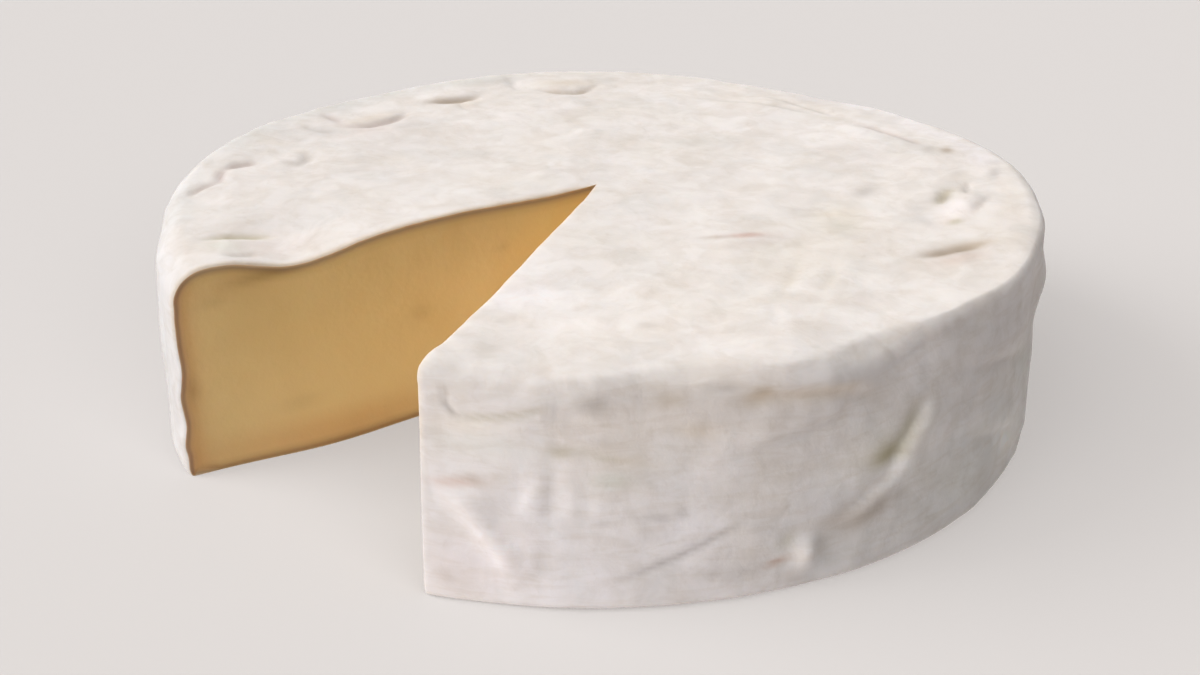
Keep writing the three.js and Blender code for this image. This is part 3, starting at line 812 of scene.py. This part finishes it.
def cut_edges(mesh):
    """Marks as sharp the edges where the rind meets a cut, and where the two cuts meet."""
    faces = np.zeros(len(mesh.polygons), dtype=np.int32)
    mesh.polygons.foreach_get("material_index", faces)
    totals = np.zeros(len(mesh.polygons), dtype=np.int32)
    mesh.polygons.foreach_get("loop_total", totals)
    edges = np.zeros(len(mesh.loops), dtype=np.int32)
    mesh.loops.foreach_get("edge_index", edges)
    corner_material = np.repeat(faces, totals)
    paste_sides = np.bincount(edges, weights=corner_material, minlength=len(mesh.edges))
    sharp = paste_sides == 1
    ends = np.zeros(2 * len(mesh.edges), dtype=np.int32)
    mesh.edges.foreach_get("vertices", ends)
    places = np.zeros(3 * len(mesh.vertices), dtype=np.float32)
    mesh.vertices.foreach_get("co", places)
    plan = places.reshape(-1, 3)[:, :2] / MM - np.array(WHEEL_AXIS) - np.array([0, APEX_Y])
    at_apex = np.hypot(plan[:, 0], plan[:, 1]) < 0.01
    sharp |= at_apex[ends.reshape(-1, 2)].all(axis=1)
    mesh.edges.foreach_set("use_edge_sharp", sharp)


def bulged(points):
    """The points after the foot of the left cut has bulged out into the notch."""
    direction = np.array([cosine(LEFT_CUT), sine(LEFT_CUT)])
    normal = np.array([-direction[1], direction[0]])
    from_apex = points[:, :2] - np.array([0, APEX_Y])
    along = (from_apex @ direction - CUT_BULGE["middle"]) / CUT_BULGE["along"]
    behind = from_apex @ normal / CUT_BULGE["behind"]
    up = points[:, 2] / CUT_BULGE["up"]
    push = CUT_BULGE["push"] * np.exp(-along ** 2 - behind ** 2 - up ** 2)
    return points + push[:, None] * np.array([*normal, 0])


def make_wheel():
    skin = Skin()
    rings, axis = add_rind(skin)
    add_cut(skin, rings, axis, RIGHT_CUT, RIGHT_CUT_MARKS, last=False)
    add_cut(skin, rings, axis, LEFT_CUT, LEFT_CUT_MARKS, last=True)
    mesh = bpy.data.meshes.new("brie_dressed")
    offset = np.array([*WHEEL_AXIS, 0])
    points = (bulged(np.array(skin.points)) + offset) * MM
    mesh.from_pydata(points.tolist(), [], skin.faces)
    mesh.polygons.foreach_set("material_index", skin.materials)
    mesh.polygons.foreach_set("use_smooth", [True] * len(mesh.polygons))
    cut_edges(mesh)
    depth = mesh.attributes.new("depth", "FLOAT", "POINT")
    depth.data.foreach_set("value", np.array(skin.depths, dtype=np.float32))
    tint = mesh.attributes.new("tint", "FLOAT_COLOR", "POINT")
    colours = np.ones((len(skin.tints), 4), dtype=np.float32)
    colours[:, :3] = skin.tints
    tint.data.foreach_set("color", colours.ravel())
    mesh.update()
    wheel = bpy.data.objects.new("brie_dressed", mesh)
    bpy.context.scene.collection.objects.link(wheel)
    return wheel


class Shader:
    """A material's node tree, with short calls for the nodes that the finishes use."""

    def __init__(self, name):
        self.material = bpy.data.materials.new(name)
        self.material.use_nodes = True
        self.nodes = self.material.node_tree.nodes
        self.links = self.material.node_tree.links
        self.surface = self.nodes["Principled BSDF"]

    def node(self, kind, inputs=None, **settings):
        node = self.nodes.new(kind)
        for name, value in settings.items():
            setattr(node, name, value)
        for name, value in (inputs or {}).items():
            self.feed(node.inputs[name], value)
        return node

    def feed(self, socket, value):
        if isinstance(value, bpy.types.NodeSocket):
            self.links.new(value, socket)
        else:
            socket.default_value = value

    def noise(self, size, detail=3.0, roughness=0.55, distortion=0.0, flatten=1.0):
        """Noise in 0 to 1 with lumps of a size in millimetres, in the object's own space. flatten says how
        many times flatter than wide the lumps are."""
        place = self.node("ShaderNodeTexCoord").outputs["Object"]
        if flatten != 1.0:
            inputs = {"Vector": place, "Scale": (1, 1, flatten)}
            place = self.node("ShaderNodeMapping", inputs).outputs["Vector"]
        inputs = {"Vector": place, "Scale": 1 / (size * MM), "Detail": detail}
        inputs |= {"Roughness": roughness, "Distortion": distortion}
        return self.node("ShaderNodeTexNoise", inputs).outputs["Fac"]

    def attribute(self, name, output="Fac"):
        return self.node("ShaderNodeAttribute", attribute_name=name).outputs[output]

    def between(self, value, low, high):
        """A value mapped smoothly from 0 at low to 1 at high."""
        inputs = {"Value": value, "From Min": low, "From Max": high}
        node = self.node("ShaderNodeMapRange", inputs, interpolation_type="SMOOTHSTEP")
        return node.outputs["Result"]

    def math(self, operation, a, b):
        node = self.node("ShaderNodeMath", operation=operation)
        self.feed(node.inputs[0], a)
        self.feed(node.inputs[1], b)
        return node.outputs["Value"]

    def mix(self, share, a, b, blend="MIX"):
        node = self.node("ShaderNodeMix", data_type="RGBA", blend_type=blend)
        self.feed(node.inputs["Factor"], share)
        for socket, colour in ((node.inputs[6], a), (node.inputs[7], b)):
            self.feed(socket, (*colour, 1) if isinstance(colour, tuple) else colour)
        return node.outputs[2]

    def ramp(self, value, stops):
        node = self.node("ShaderNodeValToRGB", {"Fac": value})
        elements = node.color_ramp.elements
        while len(elements) < len(stops):
            elements.new(0.5)
        for element, (position, colour) in zip(elements, stops):
            element.position = position
            element.color = (*colour, 1)
        return node.outputs["Color"]

    def bump(self, height, distance, strength=1.0, normal=None):
        """A bump whose whole height is a distance in millimetres."""
        inputs = {"Height": height, "Distance": distance * MM, "Strength": strength}
        if normal is not None:
            inputs["Normal"] = normal
        return self.node("ShaderNodeBump", inputs).outputs["Normal"]


def rind_material():
    shader = Shader("white mould rind")
    patches = shader.between(shader.noise(17, 3, 0.55, 0.6), 0.40, 0.64)
    colour = shader.mix(patches, (0.935, 0.866, 0.824), (0.912, 0.84, 0.782))
    rosy = shader.between(shader.noise(12, 2, 0.5, 0.4), 0.5, 0.68)
    colour = shader.mix(rosy, colour, (0.955, 0.885, 0.84))
    frost = shader.between(shader.noise(9, 3, 0.5, 0.5), 0.5, 0.7)
    colour = shader.mix(frost, colour, (0.957, 0.966, 0.972), "MULTIPLY")
    mottle = shader.between(shader.noise(5.5, 4, 0.55, 0.8), 0.36, 0.66)
    colour = shader.mix(mottle, colour, (0.925, 0.915, 0.90), "MULTIPLY")
    streaks = shader.between(shader.noise(6, 3, 0.6, 0.6, flatten=4.5), 0.42, 0.68)
    colour = shader.mix(streaks, colour, (0.95, 0.935, 0.915), "MULTIPLY")
    flecks = shader.between(shader.noise(2.6, 3, 0.6, 0.5), 0.55, 0.72)
    flecks = shader.math("MULTIPLY", flecks, 0.4)
    colour = shader.mix(flecks, colour, (0.90, 0.88, 0.85), "MULTIPLY")
    colour = shader.mix(1.0, colour, shader.attribute("tint", "Color"), "MULTIPLY")
    surface = shader.surface.inputs
    shader.feed(surface["Base Color"], colour)
    surface["Roughness"].default_value = 0.85
    surface["Specular IOR Level"].default_value = 0.25
    surface["Subsurface Weight"].default_value = 0.15
    surface["Subsurface Radius"].default_value = (1.0, 0.8, 0.6)
    surface["Subsurface Scale"].default_value = 1.2 * MM
    surface["Sheen Weight"].default_value = 0.1
    surface["Sheen Roughness"].default_value = 0.5
    felt = shader.bump(shader.noise(0.8, 3, 0.6), 0.02)
    lumps = shader.bump(shader.noise(2.6, 3, 0.5, 0.3), 0.12, normal=felt)
    shader.feed(surface["Normal"], lumps)
    return shader.material


def paste_material():
    shader = Shader("ripe paste")
    depth = shader.math("DIVIDE", shader.attribute("depth"), 10.0)
    edge = shader.ramp(depth, [
        (0.0, (0.84, 0.70, 0.54)),
        (0.016, (0.61, 0.455, 0.31)),
        (0.045, (0.50, 0.355, 0.21)),
        (0.08, (0.67, 0.465, 0.225)),
        (0.13, (0.80, 0.58, 0.265)),
        (0.22, (0.87, 0.64, 0.30)),
    ])
    cloud = shader.between(shader.noise(14, 3, 0.5), 0.35, 0.7)
    colour = shader.mix(cloud, edge, (0.96, 0.95, 0.92), "MULTIPLY")
    colour = shader.mix(1.0, colour, shader.attribute("tint", "Color"), "MULTIPLY")
    surface = shader.surface.inputs
    shader.feed(surface["Base Color"], colour)
    surface["Roughness"].default_value = 0.5
    surface["Specular IOR Level"].default_value = 0.3
    surface["Subsurface Weight"].default_value = 0.3
    surface["Subsurface Radius"].default_value = (1.0, 0.6, 0.3)
    surface["Subsurface Scale"].default_value = 2 * MM
    grain = shader.bump(shader.noise(2.2, 5, 0.6), 0.08)
    shader.feed(surface["Normal"], grain)
    return shader.material


def floor_material():
    shader = Shader("pale floor")
    surface = shader.surface.inputs
    surface["Base Color"].default_value = (0.15, 0.1425, 0.1382, 1)
    surface["Roughness"].default_value = 0.9
    surface["Specular IOR Level"].default_value = 0.0
    return shader.material


def make_floor():
    half = 3.0
    mesh = bpy.data.meshes.new("floor")
    corners = [(-half, -half, 0), (half, -half, 0), (half, half, 0), (-half, half, 0)]
    mesh.from_pydata(corners, [], [(0, 1, 2, 3)])
    mesh.materials.append(floor_material())
    floor = bpy.data.objects.new("floor", mesh)
    bpy.context.scene.collection.objects.link(floor)
    return floor


def make_sun(name, azimuth, elevation, strength, angle):
    """A broad distant light from an azimuth and an elevation."""
    light = bpy.data.lights.new(name, "SUN")
    light.energy = strength
    light.angle = math.radians(angle)
    sun = bpy.data.objects.new(name, light)
    bpy.context.scene.collection.objects.link(sun)
    level = cosine(elevation)
    towards = Vector((level * cosine(azimuth), level * sine(azimuth), sine(elevation)))
    sun.rotation_euler = towards.to_track_quat("Z", "Y").to_euler()
    return sun


def light_only(suns, thing, shadows=True):
    """Lets some lights fall on one object alone, so that the floor stays as even as a studio sweep."""
    group = bpy.data.collections.new("lit " + thing.name)
    group.objects.link(thing)
    for sun in suns:
        sun.light_linking.receiver_collection = group
        if not shadows:
            sun.light_linking.blocker_collection = group


def make_lights(wheel, floor):
    light_only([make_sun(*sun) for sun in WHEEL_SUNS], wheel)
    light_only([make_sun(*sun) for sun in FLOOR_SUNS], floor)
    light_only([make_sun(*sun) for sun in SWEEP_SUNS], floor, shadows=False)
    world = bpy.data.worlds.new("studio")
    world.use_nodes = True
    background = world.node_tree.nodes["Background"]
    background.inputs["Color"].default_value = (1, 1, 1, 1)
    background.inputs["Strength"].default_value = WORLD_LIGHT
    bpy.context.scene.world = world


def make_camera():
    camera_data = bpy.data.cameras.new("camera")
    camera_data.sensor_width = SENSOR_WIDTH
    camera_data.lens = SENSOR_WIDTH * CAMERA_FOCUS
    camera_data.clip_start = 0.01
    camera = bpy.data.objects.new("camera", camera_data)
    bpy.context.scene.collection.objects.link(camera)
    place = Matrix.Translation(Vector(CAMERA_PLACE) * MM)
    pitch = Matrix.Rotation(math.radians(90 - CAMERA_PITCH), 4, "X")
    roll = Matrix.Rotation(math.radians(CAMERA_ROLL), 4, "Z")
    camera.matrix_world = place @ pitch @ roll
    bpy.context.scene.camera = camera


def main():
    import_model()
    bpy.context.scene.view_settings.view_transform = "Standard"
    make_camera()
    floor = make_floor()
    wheel = make_wheel()
    make_lights(wheel, floor)
    wheel.data.materials.append(rind_material())
    wheel.data.materials.append(paste_material())
    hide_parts("brie_wheel")
    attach(wheel, "root")
    bpy.context.view_layer.update()


main()
